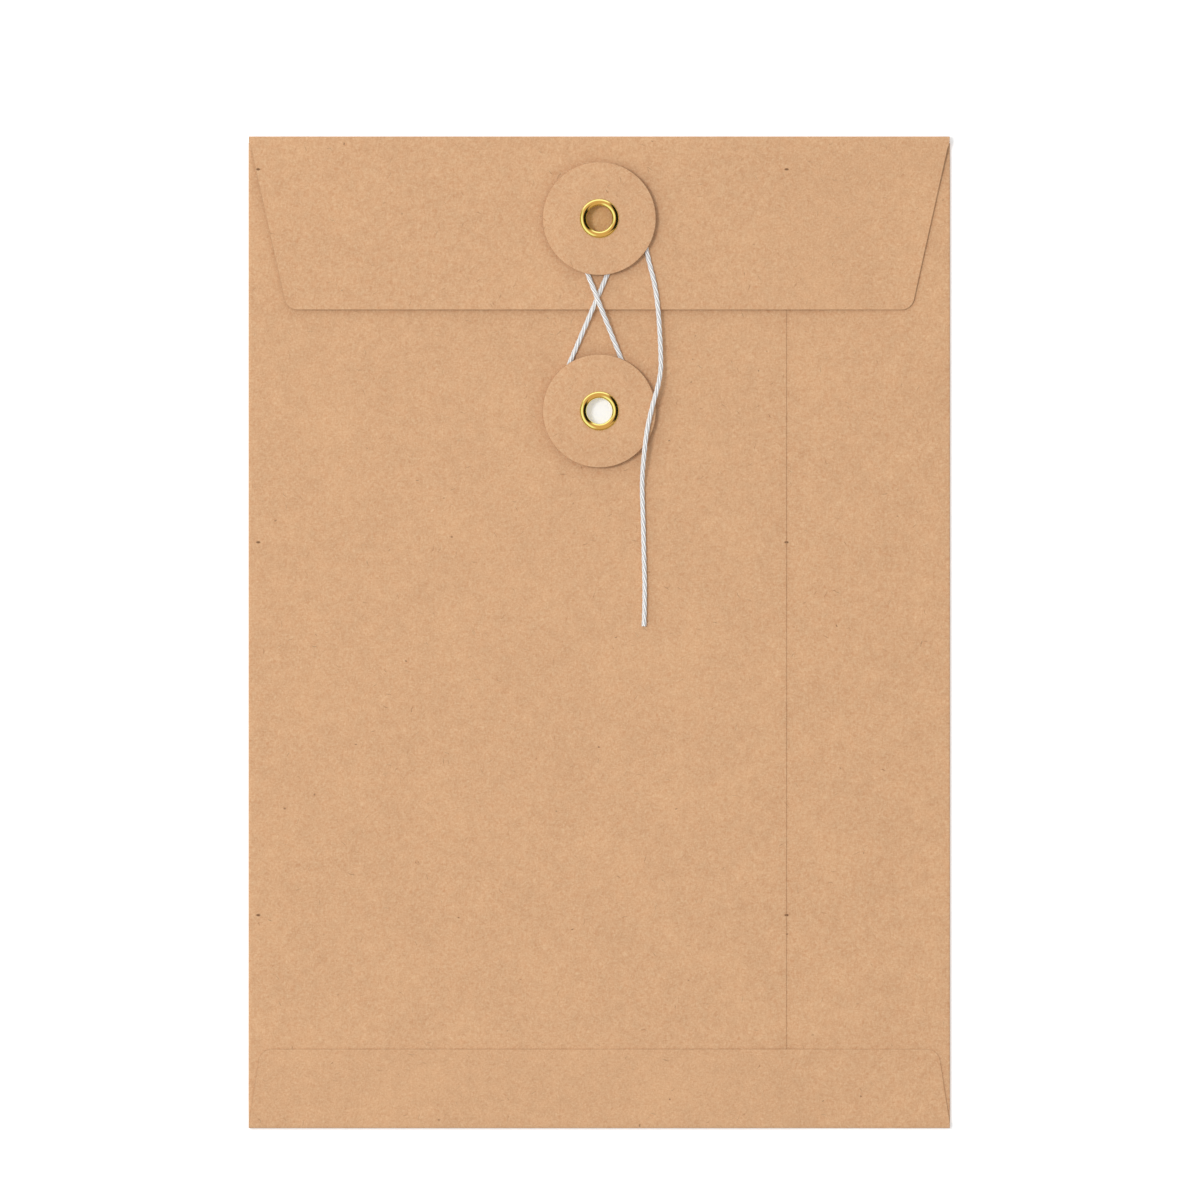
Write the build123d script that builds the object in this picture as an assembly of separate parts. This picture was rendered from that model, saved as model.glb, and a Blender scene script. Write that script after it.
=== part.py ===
from build123d import *
import math
import os

# String tie envelope, size C5, lying on its front with the flap closed.
# X runs across the envelope, Y towards the closing flap's fold, Z up from the table.
# All sizes are in millimetres. The origin is the middle of the footprint, on the table.

# Sheet
envelope_width = 162.0
envelope_height = 229.0
paper = 0.3
pocket_gap = 0.5
glue_film = 0.1
corner_gap = 0.15

# Closing flap
flap_depth = 40.0
flap_taper = 12.5
flap_corner_radius = 3.0
flap_standoff = 0.85

# Back walls, seam and throat
seam_from_right = 37.8
seam_overlap = 15.0
seam_glue_inset = 2.0
throat_drop = 5.0
throat_slope_run = 6.0

# Bottom flap
bottom_flap_height = 18.25
bottom_flap_taper = 8.4
bottom_flap_corner_radius = 3.0
bottom_glue_inset = 3.5

# Paper buttons and their patches
button_diameter = 26.1
button_thickness = 0.6
button_edge_bevel = 0.15
flap_button_drop = 19.0
pocket_button_drop = 63.4
patch_diameter = 18.0
patch_thickness = 0.2

# Brass eyelets
eyelet_bore = 6.0
eyelet_wall = 0.3
eyelet_rim_width = 1.5
eyelet_roll_width = 1.2
eyelet_roll_height = 0.45
eyelet_running_gap = 0.05
rim_facets = 8
roll_facets = 6

# String
string_diameter = 1.2
string_sides = 12
string_ease = 0.2
string_lift = 0.15
crossing_gap = 0.45
knot_length = 2.0
knot_swell = 0.08

# Share of a straight run that the arc at its end may take
arc_share = 0.45

# Figure of eight: how far each strand passes from the middle of the upper and the lower eyelet
down_strand_upper = 6.4
down_strand_lower = 10.7
up_strand_lower = 9.26
up_strand_upper = 7.35
tail_offset = 9.41
tail_lean = 11.8
hump_half_length = 1.0
hump_clear = 1.0
rim_clear = 3.0
edge_clear = 1.2

# Levels, from the table up
half_width = envelope_width / 2
half_height = envelope_height / 2
inner_back_low = paper + pocket_gap
inner_back_top = inner_back_low + paper
outer_back_low = inner_back_top + glue_film
outer_back_top = outer_back_low + paper
bottom_flap_low = outer_back_top + glue_film
bottom_flap_top = bottom_flap_low + paper
flap_low = outer_back_top + flap_standoff
flap_top = flap_low + paper
string_radius = string_diameter / 2
button_gap = string_diameter + 2 * string_ease

# Outer radius of each crease: half the height from the table to the wall that it turns into
left_radius = outer_back_top / 2
right_radius = inner_back_top / 2
bottom_radius = bottom_flap_top / 2
flap_radius = flap_top / 2

# Edges of the flat walls
left_edge = -half_width + left_radius
right_edge = half_width - right_radius
bottom_edge = -half_height + bottom_radius
top_edge = half_height - flap_radius
side_bottom = bottom_edge + corner_gap
side_top = top_edge - corner_gap
throat = half_height - throat_drop
seam = half_width - seam_from_right

# Eyelet centres and radii
upper = Vector(0, half_height - flap_button_drop)
lower = Vector(0, half_height - pocket_button_drop)
bore_radius = eyelet_bore / 2
shank_radius = bore_radius + eyelet_wall
hole_radius = shank_radius + eyelet_running_gap


def wall(points, low, thickness=paper):
    face = make_face(Polyline(*points, close=True))
    return extrude(Pos(0, 0, low) * face, thickness)


def rounded_flap(fold_y, fold_half, edge_y, edge_half, low, radius):
    outline = [(-fold_half, fold_y), (fold_half, fold_y), (edge_half, edge_y), (-edge_half, edge_y)]
    face = make_face(Polyline(*outline, close=True))
    corners = [v for v in face.vertices() if abs(v.Y - edge_y) < abs(v.Y - fold_y)]
    return extrude(Pos(0, 0, low) * fillet(corners, radius), paper)


def crease(start, outward, along, radius, length):
    outer = CenterArc((0, 0), radius, -90, 180)
    inner = CenterArc((0, 0), radius - paper, -90, 180)
    section = make_face([outer, Line(outer @ 1, inner @ 1), inner, Line(inner @ 0, outer @ 0)])
    return extrude(Plane(start, x_dir=outward, z_dir=along) * section, length)


def punch(solid, centre):
    return solid - Pos(centre.X, centre.Y, 0) * Cylinder(hole_radius, 4 * flap_top)


def button(centre, surface):
    face = Circle(button_diameter / 2) - Circle(hole_radius)
    disc = extrude(Pos(centre.X, centre.Y, surface + button_gap) * face, button_thickness)
    rim = disc.edges().filter_by(GeomType.CIRCLE).group_by(SortBy.RADIUS)[-1]
    return chamfer(rim, button_edge_bevel)


def patch(centre, low_face):
    ring = Circle(patch_diameter / 2) - Circle(hole_radius)
    return extrude(Pos(centre.X, centre.Y, low_face - patch_thickness) * ring, patch_thickness)


def half_round(inner, width, z, height, facets):
    # Points of a faceted arch from the inner radius to the outer one
    middle = inner + width / 2
    angles = [math.pi * index / facets for index in range(facets + 1)]
    return [(middle - width / 2 * math.cos(angle), z + height * math.sin(angle)) for angle in angles]


def eyelet(centre, surface):
    # Half round rim on the button, straight barrel, rolled back against the patch
    rim_z = button_gap + button_thickness + eyelet_running_gap
    roll_z = -paper - patch_thickness
    rim = half_round(bore_radius, eyelet_rim_width, rim_z, eyelet_rim_width / 2, rim_facets)
    roll = half_round(bore_radius, eyelet_roll_width, roll_z, -eyelet_roll_height, roll_facets)
    barrel = [(shank_radius, rim_z), (shank_radius, roll_z)]
    profile = make_face(Polyline(*rim, *barrel, *reversed(roll), close=True))
    return Pos(centre.X, centre.Y, surface) * revolve(Plane.XZ * profile, Axis.Z)


# The sheet: front wall and the creases round it
front_panel = wall([(left_edge, bottom_edge), (right_edge, bottom_edge),
                    (right_edge, top_edge), (left_edge, top_edge)], 0)

side_length = side_top - side_bottom
left_fold = crease((left_edge, side_bottom, left_radius), (-1, 0, 0), (0, 1, 0),
                   left_radius, side_length)
right_fold = crease((right_edge, side_bottom, right_radius), (1, 0, 0), (0, 1, 0),
                    right_radius, side_length)

# Back walls: each throat edge slopes up to the top crease beside its side fold
left_back_panel = wall([(left_edge, side_bottom), (seam, side_bottom), (seam, throat),
                        (left_edge + throat_slope_run, throat), (left_edge, side_top)],
                       outer_back_low)
left_back_panel = punch(left_back_panel, lower)

right_back_panel = wall([(seam - seam_overlap, side_bottom), (right_edge, side_bottom),
                         (right_edge, side_top), (right_edge - throat_slope_run, throat),
                         (seam - seam_overlap, throat)], inner_back_low)

# Bottom flap, tapered from the full width at its crease
bottom_lean = math.tan(math.radians(bottom_flap_taper))
bottom_fold_half = half_width - bottom_radius * bottom_lean
bottom_edge_half = half_width - bottom_flap_height * bottom_lean
bottom_flap_edge = -half_height + bottom_flap_height
bottom_fold = crease((-bottom_fold_half, bottom_edge, bottom_radius), (0, -1, 0), (1, 0, 0),
                     bottom_radius, 2 * bottom_fold_half)
bottom_flap = rounded_flap(bottom_edge, bottom_fold_half, bottom_flap_edge, bottom_edge_half,
                           bottom_flap_low, bottom_flap_corner_radius)

# Closing flap, tapered from the full width at its crease
flap_lean = math.tan(math.radians(flap_taper))
flap_fold_half = half_width - flap_radius * flap_lean
flap_edge_half = half_width - flap_depth * flap_lean
flap_edge = half_height - flap_depth
flap_fold = crease((-flap_fold_half, top_edge, flap_radius), (0, 1, 0), (1, 0, 0),
                   flap_radius, 2 * flap_fold_half)
closing_flap = rounded_flap(top_edge, flap_fold_half, flap_edge, flap_edge_half,
                            flap_low, flap_corner_radius)
closing_flap = punch(closing_flap, upper)

# Glue lines
seam_glue = wall([(seam - seam_overlap + seam_glue_inset, side_bottom + seam_glue_inset),
                  (seam - seam_glue_inset, side_bottom + seam_glue_inset),
                  (seam - seam_glue_inset, throat - seam_glue_inset),
                  (seam - seam_overlap + seam_glue_inset, throat - seam_glue_inset)],
                 inner_back_top, glue_film)
bottom_glue = wall([(-bottom_edge_half + bottom_glue_inset, side_bottom + bottom_glue_inset),
                    (seam - seam_glue_inset, side_bottom + bottom_glue_inset),
                    (seam - seam_glue_inset, bottom_flap_edge - bottom_glue_inset),
                    (-bottom_edge_half + bottom_glue_inset, bottom_flap_edge - bottom_glue_inset)],
                   outer_back_top, glue_film)

# Buttons, eyelets and patches
flap_button = button(upper, flap_top)
flap_eyelet = eyelet(upper, flap_top)
flap_patch = patch(upper, flap_low)
pocket_button = button(lower, outer_back_top)
pocket_eyelet = eyelet(lower, outer_back_top)
pocket_patch = patch(lower, outer_back_low)

# String levels: on the flap, on the pocket under its button, and over that button
on_flap = flap_top + string_radius + string_ease
on_pocket = outer_back_top + string_radius + string_ease
lying = outer_back_top + string_radius + string_lift
over_button = outer_back_top + button_gap + button_thickness + string_radius + string_lift
over_strand = on_flap + string_diameter + crossing_gap


def turn(angle):
    return Vector(math.cos(math.radians(angle)), math.sin(math.radians(angle)))


def level(point, height):
    return Vector(point.X, point.Y, height)


def rim_chord(passing):
    # Half of the line that a strand draws across a button, passing its middle at this distance
    return math.sqrt((button_diameter / 2)**2 - passing**2)


def loop_arc(centre, radius, start, end, height):
    middle = (start + end) / 2
    points = [level(centre + turn(angle) * radius, height) for angle in (start, middle, end)]
    return ThreePointArc(*points)


def limp_line(label, points):
    # Straight runs joined by arcs as large as the runs allow
    radii = []
    for before, corner, after in zip(points, points[1:], points[2:]):
        arriving = corner - before
        leaving = after - corner
        bend = math.radians(arriving.get_angle(leaving))
        radii.append(arc_share * min(arriving.length, leaving.length) / math.tan(bend / 2))
    print(label, "radii", [round(radius, 1) for radius in radii])
    return FilletPolyline(*points, radius=radii)


def tube(label, path):
    # A cord of flat sides, with a corner of its section on top
    across = (path % 0).cross(Vector(0, 0, 1))
    section = Plane(path @ 0, x_dir=across, z_dir=path % 0) * RegularPolygon(string_radius, string_sides)
    solid = sweep(section, path)
    ratio = solid.volume / (section.area * path.length)
    print(label, "length", round(path.length, 1), "volume over section times length", round(ratio, 4))
    return solid


# Figure of eight: the two strands cross between the buttons, each a line beside both eyelets
button_spacing = (upper - lower).length
down_lean = math.degrees(math.asin((down_strand_upper + down_strand_lower) / button_spacing))
up_lean = math.degrees(math.asin((up_strand_upper + up_strand_lower) / button_spacing))
down_start = upper + turn(-down_lean) * down_strand_upper
down_end = lower + turn(180 - down_lean) * down_strand_lower
up_end = upper + turn(180 + up_lean) * up_strand_upper

# One turn round the upper eyelet, widening from the knot to the strand that goes down
tie_radius = shank_radius + string_radius + string_ease
tie_step = (down_strand_upper - tie_radius) / 2
tie_axis = turn(-down_lean)
first_half = loop_arc(upper - tie_axis * (tie_step / 2), tie_radius + tie_step / 2,
                      -down_lean, -down_lean - 180, on_flap)
second_half = loop_arc(upper + tie_axis * (tie_step / 2), tie_radius + 1.5 * tie_step,
                       180 - down_lean, -down_lean, on_flap)

# The strand down stays on the flap to its edge, then drops under the lower button
down_way = (down_end - down_start).normalized()
flap_leave = (down_start.Y - flap_edge) / -down_way.Y + edge_clear
under_rim = (down_end - down_start).length - rim_chord(down_strand_lower) - rim_clear
down_strand = limp_line("strand down", [
    level(down_start, on_flap),
    level(down_start + down_way * flap_leave, on_flap),
    level(down_start + down_way * under_rim, on_pocket),
    level(down_end, on_pocket)])

# Loose loop under the lower button, from its left round to its right, as two arcs
sine = math.sin(math.radians(up_lean))
lower_second = (up_strand_lower + down_strand_lower * sine) / (1 + sine)
lower_middle = lower + Vector(0, lower_second - down_strand_lower)
lower_left = loop_arc(lower, down_strand_lower, 180 - down_lean, 270, on_pocket)
lower_right = loop_arc(lower_middle, lower_second, 270, 360 + up_lean, on_pocket)
up_start = lower_middle + turn(up_lean) * lower_second

# The strand up climbs over the strand down and goes under the upper button
up_way = (up_end - up_start).normalized()
crossing = (down_start - up_start).cross(down_way).Z / up_way.cross(down_way).Z
lower_rim = rim_chord(up_strand_lower) + rim_clear
upper_rim = (up_end - up_start).length - rim_chord(up_strand_upper) - hump_clear
up_strand = limp_line("strand up", [
    level(up_start, on_pocket),
    level(up_start + up_way * lower_rim, on_pocket),
    level(up_start + up_way * (crossing - hump_half_length), over_strand),
    level(up_start + up_way * (crossing + hump_half_length), over_strand),
    level(up_start + up_way * upper_rim, on_flap),
    level(up_end, on_flap)])

# Over the top of the upper eyelet and down its right side, as two arcs, to the tail
sine = math.sin(math.radians(tail_lean))
upper_second = (tail_offset - up_strand_upper * sine) / (1 - sine)
upper_middle = upper + Vector(0, up_strand_upper - upper_second)
upper_left = loop_arc(upper, up_strand_upper, 180 + up_lean, 90, on_flap)
upper_right = loop_arc(upper_middle, upper_second, 90, tail_lean, on_flap)
tail_way = turn(tail_lean - 90)
tail_exit = upper_middle + turn(tail_lean) * upper_second
tail_start = tail_exit + tail_way * string_diameter

# A straight end of one diameter at the knot and at the tail
knot_way = turn(90 - down_lean)
tie_start = level(upper + tie_axis * tie_radius, on_flap)
knot_face = tie_start + knot_way * string_diameter
winding_path = Wire([
    Line(knot_face, tie_start),
    first_half,
    second_half,
    *down_strand.edges(),
    lower_left,
    lower_right,
    *up_strand.edges(),
    upper_left,
    upper_right,
    Line(level(tail_exit, on_flap), level(tail_start, on_flap))])
string_winding = tube("winding", winding_path)

# Least gap of the winding to itself, measured on points along it
trace_step = string_diameter / 3
count = int(winding_path.length / trace_step)
trace = [winding_path @ (index / count) for index in range(count + 1)]
apart = int(4 * string_diameter / trace_step)
least = min((a - b).length for i, a in enumerate(trace) for b in trace[i + apart:])
print("winding's least gap to itself", round(least - string_diameter, 2))

# Knot, a small barrel at the start of the winding
knot_profile = make_face([
    Line((0, 0), (0, string_radius)),
    ThreePointArc((0, string_radius), (knot_length / 2, string_radius + knot_swell),
                  (knot_length, string_radius)),
    Line((knot_length, string_radius), (knot_length, 0)),
    Line((knot_length, 0), (0, 0))])
knot_plane = Plane(knot_face, x_dir=knot_way, z_dir=(0, 0, 1))
string_knot = knot_plane * revolve(knot_profile, Axis.X)

# Free tail: out from under the upper button, over the lower button's rim, then along the pocket.
# Each point is across and down from the upper eyelet's middle, with its height.
tail_route = [
    (11.2, -8.5, on_flap),
    (12.6, -14.5, on_flap),
    (13.6, -21.5, on_flap),
    (14.25, -29.5, on_flap + 0.1),
    (13.9, -36.5, over_button - 0.3),
    (12.4, -43.0, over_button + 0.15),
    (10.7, -51.5, over_button + 0.2),
    (10.0, -59.0, lying + 0.5),
    (9.8, -66.0, lying),
    (10.2, -76.0, lying),
    (10.55, -86.0, lying),
    (10.3, -94.1, lying)]
tail_points = [level(tail_start, on_flap)]
for across, down, height in tail_route:
    tail_points.append(Vector(upper.X + across, upper.Y + down, height))
tail_path = limp_line("tail", tail_points)
string_tail = tube("tail", tail_path)

nodes = {
    "front_panel": front_panel,
    "left_fold": left_fold,
    "right_fold": right_fold,
    "bottom_fold": bottom_fold,
    "left_back_panel": left_back_panel,
    "right_back_panel": right_back_panel,
    "bottom_flap": bottom_flap,
    "flap_fold": flap_fold,
    "closing_flap": closing_flap,
    "seam_glue": seam_glue,
    "bottom_glue": bottom_glue,
    "flap_button": flap_button,
    "flap_eyelet": flap_eyelet,
    "flap_patch": flap_patch,
    "pocket_button": pocket_button,
    "pocket_eyelet": pocket_eyelet,
    "pocket_patch": pocket_patch,
    "string_knot": string_knot,
    "string_winding": string_winding,
    "string_tail": string_tail,
}

os.makedirs("parts", exist_ok=True)
for name, shape in nodes.items():
    export_step(shape, f"parts/{name}.step")
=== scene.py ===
import math

import bmesh
import bpy
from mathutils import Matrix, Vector
from mathutils.geometry import delaunay_2d_cdt


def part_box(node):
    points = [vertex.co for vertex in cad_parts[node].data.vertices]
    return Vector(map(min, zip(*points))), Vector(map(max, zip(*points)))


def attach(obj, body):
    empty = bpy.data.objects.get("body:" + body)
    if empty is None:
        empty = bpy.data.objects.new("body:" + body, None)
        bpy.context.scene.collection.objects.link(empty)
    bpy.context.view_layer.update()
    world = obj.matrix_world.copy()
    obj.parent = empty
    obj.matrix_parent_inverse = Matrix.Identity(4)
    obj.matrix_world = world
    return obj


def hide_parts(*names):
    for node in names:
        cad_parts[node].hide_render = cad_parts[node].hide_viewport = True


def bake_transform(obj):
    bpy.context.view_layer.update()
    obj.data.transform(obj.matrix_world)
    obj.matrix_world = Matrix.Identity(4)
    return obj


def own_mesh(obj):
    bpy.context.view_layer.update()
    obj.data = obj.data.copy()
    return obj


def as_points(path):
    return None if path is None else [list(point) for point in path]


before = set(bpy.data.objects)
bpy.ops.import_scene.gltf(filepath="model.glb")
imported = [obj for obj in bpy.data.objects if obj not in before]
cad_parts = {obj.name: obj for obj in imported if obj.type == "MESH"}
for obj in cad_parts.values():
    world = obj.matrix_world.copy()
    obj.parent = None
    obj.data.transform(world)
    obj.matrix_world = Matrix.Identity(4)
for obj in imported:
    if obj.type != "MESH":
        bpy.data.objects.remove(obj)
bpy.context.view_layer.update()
scene = bpy.context.scene
scene.view_settings.view_transform = "Standard"
mm = 0.001

# places taken from the frame
frontLow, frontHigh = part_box("front_panel")
leftWallLow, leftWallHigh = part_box("left_back_panel")
rightWallLow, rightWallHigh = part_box("right_back_panel")
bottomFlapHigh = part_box("bottom_flap")[1]
flapLow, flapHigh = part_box("closing_flap")
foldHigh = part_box("flap_fold")[1]
paper = frontHigh.z - frontLow.z


def middleOf(node):
    low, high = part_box(node)
    return (low + high) / 2


upperEye = middleOf("flap_eyelet")
lowerEye = middleOf("pocket_eyelet")
flapTop = flapHigh.z
pocketTop = leftWallHigh.z
apart = (upperEye - lowerEye).y
print("frame read: paper", round(paper / mm, 2), "mm, eyelets", round(apart / mm, 1), "mm apart")


# camera, straight above, the photograph's frame across
cameraSet = {"frameWidth": 277.1 * mm, "middle": (0.16 * mm, 7.47 * mm), "distance": 4.0, "sensor": 36.0,
             "clipEnd": 50}


def addCamera(settings):
    data = bpy.data.cameras.new("photoCamera")
    data.sensor_width = settings["sensor"]
    data.lens = settings["sensor"] * settings["distance"] / settings["frameWidth"]
    data.clip_end = settings["clipEnd"]
    camera = bpy.data.objects.new("photoCamera", data)
    camera.location = (*settings["middle"], pocketTop + settings["distance"])
    scene.collection.objects.link(camera)
    scene.camera = camera


addCamera(cameraSet)
print("camera placed")


# small helpers for node trees
def feed(tree, target, value):
    if isinstance(value, bpy.types.NodeSocket):
        tree.links.new(value, target)
    else:
        target.default_value = value


def wire(tree, node, inputs):
    for key, value in inputs.items():
        feed(tree, node.inputs[key], value)


def addNode(tree, kind, inputs=None, out=None, **settings):
    # the new node, or only the output that is asked for
    node = tree.nodes.new(kind)
    for key, value in settings.items():
        setattr(node, key, value)
    wire(tree, node, inputs or {})
    return node if out is None else node.outputs[out]


def mathNode(tree, operation, first, second=0.0, clamp=False):
    return addNode(tree, "ShaderNodeMath", {0: first, 1: second}, 0, operation=operation, use_clamp=clamp)


def timesNode(tree, first, second):
    return mathNode(tree, "MULTIPLY", first, second)


def vectorNode(tree, operation, *values):
    out = "Value" if operation in ("LENGTH", "DOT_PRODUCT") else "Vector"
    return addNode(tree, "ShaderNodeVectorMath", dict(enumerate(values)), out, operation=operation)


def rampNode(tree, value, fromLow, fromHigh, toLow, toHigh):
    inputs = dict(enumerate((value, fromLow, fromHigh, toLow, toHigh)))
    return addNode(tree, "ShaderNodeMapRange", inputs, 0, interpolation_type="SMOOTHSTEP")


def noiseNode(tree, vector, scale, detail=2.0):
    return addNode(tree, "ShaderNodeTexNoise", {"Vector": vector, "Scale": scale, "Detail": detail}, "Fac")


def mixColor(tree, factor, first, second):
    return addNode(tree, "ShaderNodeMix", {0: factor, 6: first, 7: second}, 2, data_type="RGBA")


def newMaterial(name):
    material = bpy.data.materials.new(name)
    material.use_nodes = True
    tree = material.node_tree
    return material, tree, tree.nodes["Principled BSDF"]


def newTree(name, kind, inputs, outputs):
    # an empty node group with named sockets, and its two ends
    tree = bpy.data.node_groups.new(name, kind)
    for side, sockets in (("INPUT", inputs), ("OUTPUT", outputs)):
        for socket, what in sockets.items():
            tree.interface.new_socket(socket, in_out=side, socket_type="NodeSocket" + what)
    return tree, addNode(tree, "NodeGroupInput").outputs, addNode(tree, "NodeGroupOutput").inputs


def millimetres(tree, offset=(0, 0, 0), turn=0.0):
    # the piece's own coordinates, in millimetres
    inputs = {
        "Vector": addNode(tree, "ShaderNodeTexCoord", out="Object"),
        "Location": offset,
        "Rotation": (0, 0, math.radians(turn)),
        "Scale": (1 / mm,) * 3,
    }
    return addNode(tree, "ShaderNodeMapping", inputs, "Vector")


def addBump(tree, shader, height, distance, strength):
    inputs = {"Strength": strength, "Distance": distance, "Height": height}
    feed(tree, shader.inputs["Normal"], addNode(tree, "ShaderNodeBump", inputs, "Normal"))


def shaded(tone, share=1.0):
    return (*[share * part for part in tone], 1)


# paper stock shared by the sheet, its lining, the buttons and the patches, in millimetres
paperSet = {
    "fibres": [  # turn in degrees, cell length, cell width, share of cells that hold a fibre
        (12, 3.2, 0.34, 0.05),
        (58, 2.6, 0.30, 0.05),
        (101, 3.4, 0.32, 0.05),
        (149, 2.8, 0.30, 0.05),
    ],
    "fibreFade": 12.0,  # many fibres are faint, few are dark
    "specks": (4, 1.1, 0.8, 0.0025),
    "speckFade": 1.0,
    "dashEdge": (0.12, 0.3),  # where a fibre fades out, in cells
    "wander": (0.5, 1.6),  # how often and how far the fibres bend
    "felt": ((1.5, 3.6, 1.0), (3.6, 1.5, 1.0)),  # fine fibres lie both along and across
    "feltDetail": 3.0,
    "cloud": (0.42, 3.0),  # noise scale and detail
    "broad": (0.07, 2.0),
    "broadShare": 0.68,
    "broadTone": 0.6,
    "grainTint": (0.5, 1.0, 1.27),  # dark spots are redder, pale ones greyer
    "warm": (1.0, 0.62, 0.3),
    "stain": (0.16, 0.075, 0.035),
    "rollSpeck": {  # comes back with every turn of the paper maker's roll
        "place": (-78.75, 106.9, 0.0),
        "period": (122.0, 86.1, 50.0),
        "squeeze": (0.55, 1.0, 0.0),
        "edge": (0.16, 0.37),
        "depth": 1.2,
    },
    "roughness": 0.88,
    "bump": (0.02 * mm, 0.35),
}


def dashMask(tree, vector, dash, fade):
    # short strokes that all lie one way
    turn, length, width, share = dash
    inputs = {"Vector": vector, "Location": (turn, -turn, 0), "Rotation": (0, 0, math.radians(turn))}
    turned = addNode(tree, "ShaderNodeMapping", inputs, "Vector")
    inputs = {"Vector": vectorNode(tree, "MULTIPLY", turned, (1 / length, 1 / width, 0)), "Scale": 1.0}
    cells = addNode(tree, "ShaderNodeTexVoronoi", inputs, voronoi_dimensions="2D")
    shape = rampNode(tree, cells.outputs["Distance"], *paperSet["dashEdge"], 1.0, 0.0)
    drawn = addNode(tree, "ShaderNodeSeparateColor", {0: cells.outputs["Color"]}).outputs
    chosen = mathNode(tree, "LESS_THAN", drawn[0], share)
    strength = mathNode(tree, "POWER", drawn[1], fade)
    return timesNode(tree, timesNode(tree, shape, chosen), strength)


def rollSpeck(tree, place, settings):
    half = [period / 2 for period in settings["period"]]
    shifted = vectorNode(tree, "SUBTRACT", place, settings["place"])
    wrapped = vectorNode(tree, "WRAP", shifted, half, [-part for part in half])
    away = vectorNode(tree, "LENGTH", vectorNode(tree, "MULTIPLY", wrapped, settings["squeeze"]))
    return rampNode(tree, away, *settings["edge"], settings["depth"], 0.0)


def makePaperGroup(settings):
    inputs = {"Vector": "Vector", "Place": "Vector", "Base": "Color", "Cloud": "Float", "Grain": "Float",
              "Fibres": "Float", "Specks": "Float"}
    group, given, result = newTree("paperStock", "ShaderNodeTree", inputs, {"Color": "Color", "Height": "Float"})

    often, far = settings["wander"]
    wander = addNode(group, "ShaderNodeTexNoise", {"Vector": given["Vector"], "Scale": often}, "Color")
    bent = vectorNode(group, "MULTIPLY_ADD", wander, (far, far, 0), given["Vector"])

    # clouds, and the felt of fine fibres
    cloud = mathNode(group, "SUBTRACT", noiseNode(group, given["Vector"], *settings["cloud"]), 0.5)
    broad = mathNode(group, "SUBTRACT", noiseNode(group, given["Vector"], *settings["broad"]), 0.5)
    broad = timesNode(group, broad, settings["broadShare"])
    grain = 0.0
    for stretch in settings["felt"]:
        felt = noiseNode(group, vectorNode(group, "MULTIPLY", bent, stretch), 1.0, settings["feltDetail"])
        grain = mathNode(group, "ADD", mathNode(group, "SUBTRACT", felt, 0.5), grain)
    tone = mathNode(group, "ADD", cloud, timesNode(group, broad, settings["broadTone"]))
    tone = mathNode(group, "ADD", timesNode(group, tone, given["Cloud"]), 1.0)
    grainDepth = timesNode(group, grain, given["Grain"])
    tinted = vectorNode(group, "MULTIPLY_ADD", grainDepth, settings["grainTint"], tone)

    # single dark fibres and specks
    fibres = 0.0
    for dash in settings["fibres"]:
        fibres = mathNode(group, "MAXIMUM", dashMask(group, bent, dash, settings["fibreFade"]), fibres)
    specks = dashMask(group, bent, settings["specks"], settings["speckFade"])
    dark = mathNode(group, "ADD", timesNode(group, fibres, given["Fibres"]),
                    timesNode(group, specks, given["Specks"]), clamp=True)
    large = rollSpeck(group, given["Place"], settings["rollSpeck"])
    dark = mathNode(group, "MAXIMUM", dark, timesNode(group, large, given["Specks"]))

    shade = vectorNode(group, "MULTIPLY", given["Base"], tinted)
    warmth = timesNode(group, broad, given["Cloud"])
    warm = mixColor(group, warmth, shade, shaded(settings["warm"]))
    feed(group, result["Color"], mixColor(group, dark, warm, shaded(settings["stain"])))
    feed(group, result["Height"], mathNode(group, "ADD", grain, timesNode(group, fibres, 0.5)))
    return group


paperGroup = makePaperGroup(paperSet)


def paperMaterial(name, base, cloud, grain, fibres, specks, offset, turn=0.0):
    material, tree, shader = newMaterial(name)
    stock = addNode(tree, "ShaderNodeGroup", {
        "Vector": millimetres(tree, offset, turn), "Place": millimetres(tree), "Base": shaded(base),
        "Cloud": cloud, "Grain": grain, "Fibres": fibres, "Specks": specks,
    }, node_tree=paperGroup)
    wire(tree, shader, {
        "Base Color": stock.outputs["Color"], "Roughness": paperSet["roughness"],
        "Specular IOR Level": 0.0,  # uncoated
    })
    addBump(tree, shader, stock.outputs["Height"], *paperSet["bump"])
    return material


kraftTone = (0.663, 0.394, 0.22)
kraftSet = {"cloud": 0.2, "grain": 0.61, "fibres": 0.5, "specks": 0.7}
edgeShadeSet = {"cloud": 0.15, "grain": 0.3, "fibres": 0.1, "specks": 0.0}
flapLiningSet = {"cloud": 0.03, "grain": 0.05, "fibres": 0.03, "specks": 0.0}
pocketLiningSet = {"cloud": 0.02, "grain": 0.04, "fibres": 0.02, "specks": 0.0}
kraftPocket = paperMaterial("kraftPocket", kraftTone, offset=(0, 0, 0.25), **kraftSet)
kraftFlap = paperMaterial("kraftFlap", kraftTone, offset=(311, 127, 0), turn=4, **kraftSet)
kraftButton = paperMaterial("kraftButton", kraftTone, offset=(57, 403, 0), turn=63, **kraftSet)
kraftPatch = paperMaterial("kraftPatch", (0.577, 0.346, 0.192), offset=(190, 71, 0), turn=31, **kraftSet)
# painted shade: the cut edge and a thin band along it are darker, standing in for the dark outline where the edge
# falls into shade
paintedEdgeShade = paperMaterial("paintedEdgeShade", (0.548, 0.322, 0.178), offset=(0, 0, 0), **edgeShadeSet)
whiteLining = paperMaterial("whiteLining", (0.83, 0.83, 0.82), offset=(23, 88, 0), **flapLiningSet)
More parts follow.
